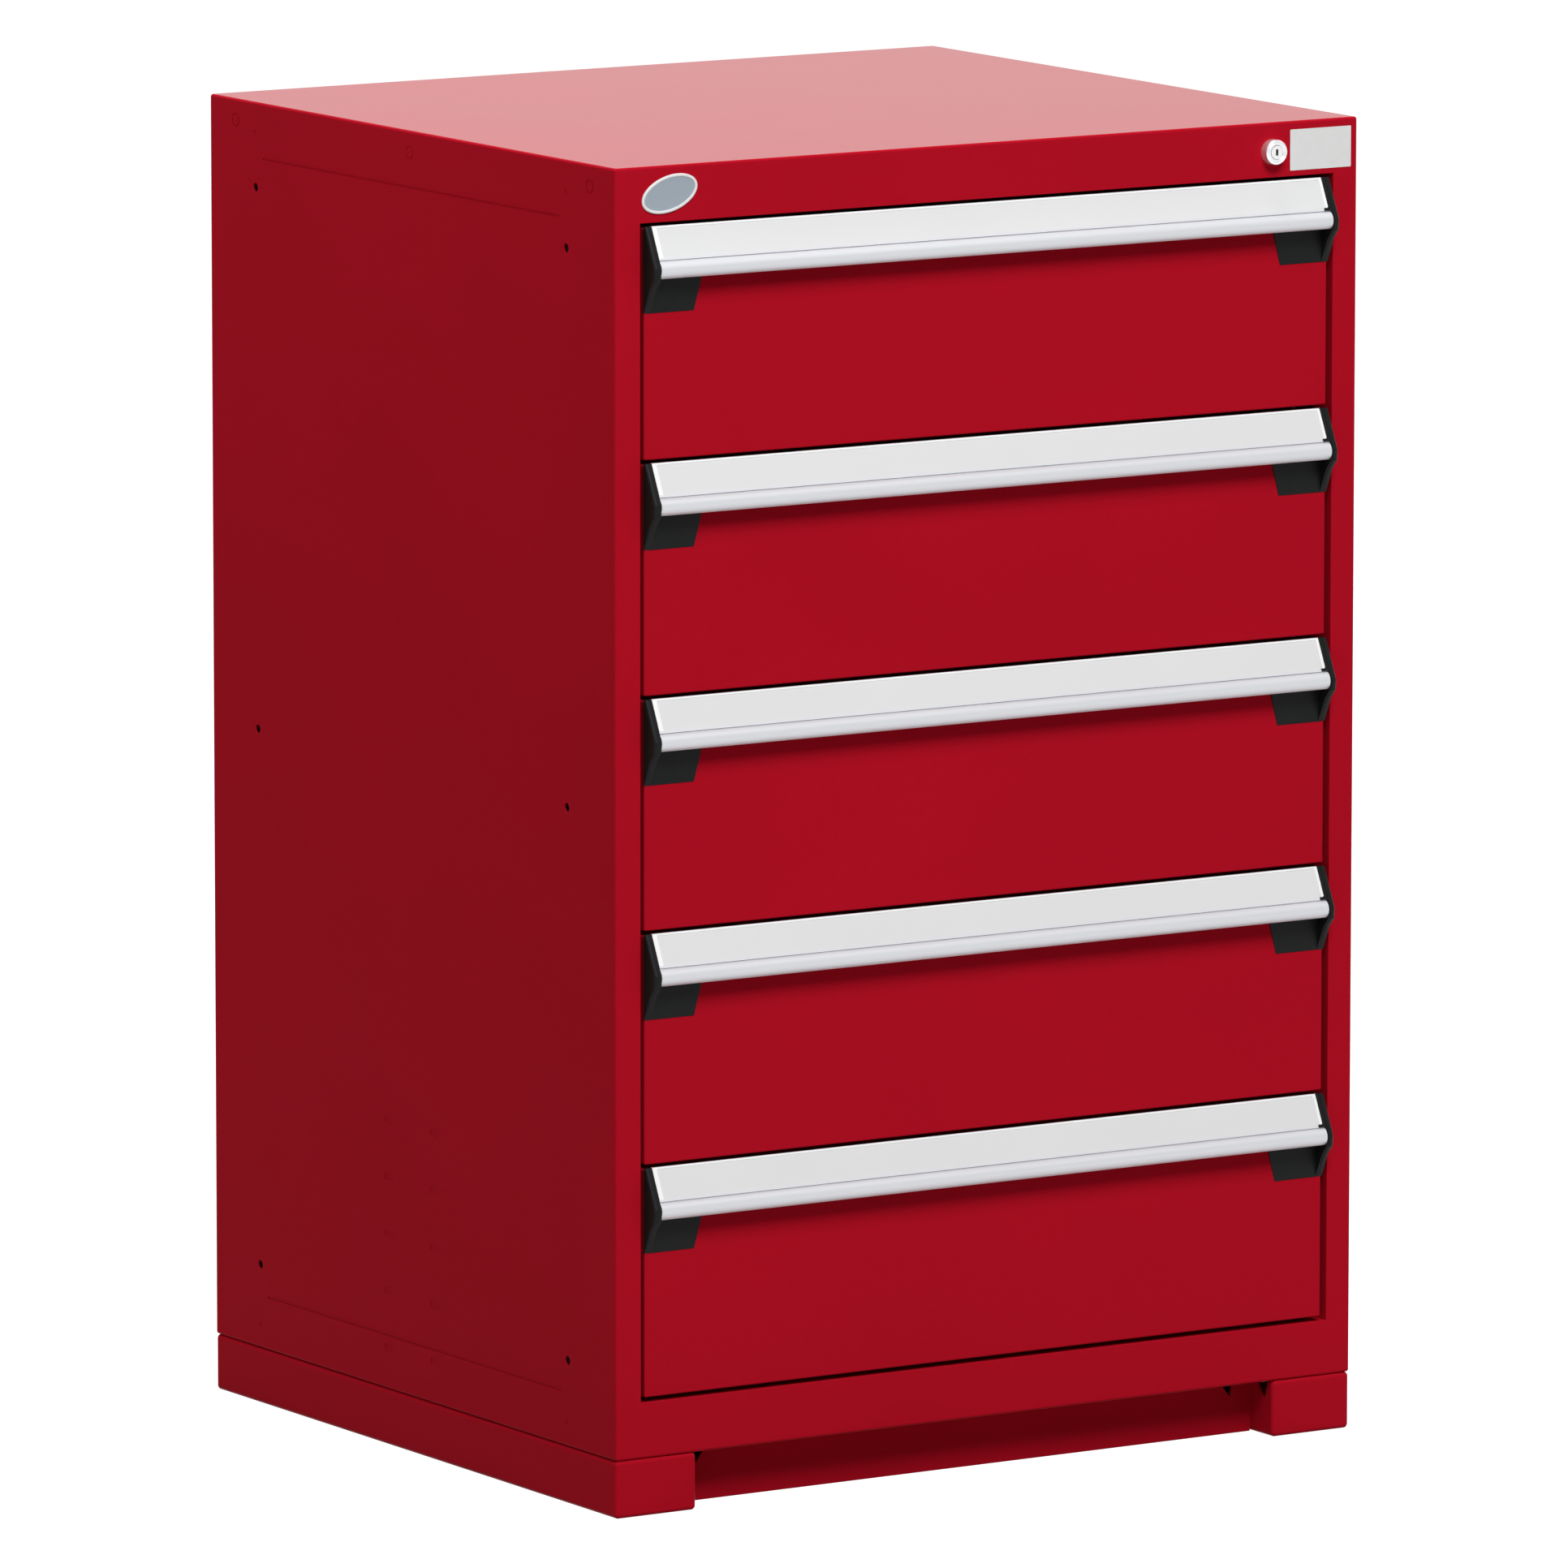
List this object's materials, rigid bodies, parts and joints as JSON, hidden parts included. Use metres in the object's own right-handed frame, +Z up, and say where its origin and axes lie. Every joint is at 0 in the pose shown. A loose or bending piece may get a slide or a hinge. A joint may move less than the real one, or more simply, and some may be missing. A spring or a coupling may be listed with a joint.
{
  "type": "modular drawer cabinet",
  "caption": "Free-standing steel drawer cabinet with full-width pull handles, roller slides, a key lock with a lock bar, and a low base with a toe recess.",
  "frame": {"origin": "on the floor, under the middle of the cabinet's box with its handles", "axes": "+X to the right seen from the front, +Y to the back, +Z up; the drawer fronts face -Y"},
  "size_m": [0.762, 0.7048, 1.1684],
  "materials": {
    "cabinet_paint": "smooth gloss powder coat",
    "drawer_paint": "smooth gloss powder coat",
    "zinc_steel": "bright zinc plate",
    "slide_steel": "zinc plated steel sheet",
    "handle_aluminium": "satin light extrusion",
    "label_plastic": "plain white strip",
    "cap_plastic": "fine matt moulding",
    "lock_chrome": "polished",
    "badge_metal": "plain satin plate with a light rim",
    "bumper_rubber": "moulded rubber"
  },
  "bodies": {
    "housing": {"left_side_panel": "cabinet_paint", "right_side_panel": "cabinet_paint", "top_panel": "cabinet_paint", "bottom_panel": "cabinet_paint", "back_panel": "cabinet_paint", "slotted_uprights": "zinc_steel", "left_base_channel": "cabinet_paint", "right_base_channel": "cabinet_paint", "kick_plate": "cabinet_paint", "base_rear_channel": "cabinet_paint", "base_bolts": "zinc_steel", "lock_barrel": "lock_chrome", "lock_nut": "zinc_steel", "lock_bar_guides": "zinc_steel", "badge_plate": "badge_metal", "rail_bumpers": "bumper_rubber", "cabinet_rails_1": "slide_steel", "cabinet_rails_2": "slide_steel", "cabinet_rails_3": "slide_steel", "cabinet_rails_4": "slide_steel", "cabinet_rails_5": "slide_steel"},
    "drawer_1": {"drawer_front_1": "drawer_paint", "drawer_tray_1": "drawer_paint", "handle_1": "handle_aluminium", "label_strip_1": "label_plastic", "handle_caps_1": "cap_plastic", "drawer_rails_1": "slide_steel"},
    "carriage_1": {"carriages_1": "slide_steel"},
    "drawer_2": {"drawer_front_2": "drawer_paint", "drawer_tray_2": "drawer_paint", "handle_2": "handle_aluminium", "label_strip_2": "label_plastic", "handle_caps_2": "cap_plastic", "drawer_rails_2": "slide_steel"},
    "carriage_2": {"carriages_2": "slide_steel"},
    "drawer_3": {"drawer_front_3": "drawer_paint", "drawer_tray_3": "drawer_paint", "handle_3": "handle_aluminium", "label_strip_3": "label_plastic", "handle_caps_3": "cap_plastic", "drawer_rails_3": "slide_steel"},
    "carriage_3": {"carriages_3": "slide_steel"},
    "drawer_4": {"drawer_front_4": "drawer_paint", "drawer_tray_4": "drawer_paint", "handle_4": "handle_aluminium", "label_strip_4": "label_plastic", "handle_caps_4": "cap_plastic", "drawer_rails_4": "slide_steel"},
    "carriage_4": {"carriages_4": "slide_steel"},
    "drawer_5": {"drawer_front_5": "drawer_paint", "drawer_tray_5": "drawer_paint", "handle_5": "handle_aluminium", "label_strip_5": "label_plastic", "handle_caps_5": "cap_plastic", "drawer_rails_5": "slide_steel"},
    "carriage_5": {"carriages_5": "slide_steel"},
    "lock_plug": {"lock_plug": "lock_chrome", "lock_cam": "zinc_steel"},
    "lock_bar": {"lock_bar": "zinc_steel"}
  },
  "joints": [
    {"name": "drawer_1_slide", "type": "slide", "parent": "housing", "child": "drawer_1", "axis": [0, -1, 0], "range_m": [0, 0.61]},
    {"name": "carriage_1_slide", "type": "slide", "parent": "housing", "child": "carriage_1", "axis": [0, -1, 0], "range_m": [0, 0.305]},
    {"name": "drawer_2_slide", "type": "slide", "parent": "housing", "child": "drawer_2", "axis": [0, -1, 0], "range_m": [0, 0.61]},
    {"name": "carriage_2_slide", "type": "slide", "parent": "housing", "child": "carriage_2", "axis": [0, -1, 0], "range_m": [0, 0.305]},
    {"name": "drawer_3_slide", "type": "slide", "parent": "housing", "child": "drawer_3", "axis": [0, -1, 0], "range_m": [0, 0.61]},
    {"name": "carriage_3_slide", "type": "slide", "parent": "housing", "child": "carriage_3", "axis": [0, -1, 0], "range_m": [0, 0.305]},
    {"name": "drawer_4_slide", "type": "slide", "parent": "housing", "child": "drawer_4", "axis": [0, -1, 0], "range_m": [0, 0.61]},
    {"name": "carriage_4_slide", "type": "slide", "parent": "housing", "child": "carriage_4", "axis": [0, -1, 0], "range_m": [0, 0.305]},
    {"name": "drawer_5_slide", "type": "slide", "parent": "housing", "child": "drawer_5", "axis": [0, -1, 0], "range_m": [0, 0.61]},
    {"name": "carriage_5_slide", "type": "slide", "parent": "housing", "child": "carriage_5", "axis": [0, -1, 0], "range_m": [0, 0.305]},
    {"name": "lock_turn", "type": "hinge", "parent": "housing", "child": "lock_plug", "pos_m": [0.2904, -0.3334, 1.143], "axis": [0, -1, 0], "range_deg": [0, 90]},
    {"name": "lock_bar_slide", "type": "slide", "parent": "housing", "child": "lock_bar", "axis": [0, 0, 1], "range_m": [0, 0.01202]}
  ],
  "couplings": [
    {"joint": "carriage_1_slide", "follows": "drawer_1_slide", "ratio": 0.5},
    {"joint": "carriage_2_slide", "follows": "drawer_2_slide", "ratio": 0.5},
    {"joint": "carriage_3_slide", "follows": "drawer_3_slide", "ratio": 0.5},
    {"joint": "carriage_4_slide", "follows": "drawer_4_slide", "ratio": 0.5},
    {"joint": "carriage_5_slide", "follows": "drawer_5_slide", "ratio": 0.5},
    {"joint": "lock_turn", "follows": "lock_bar_slide", "rad_per_m": 130.67}
  ]
}
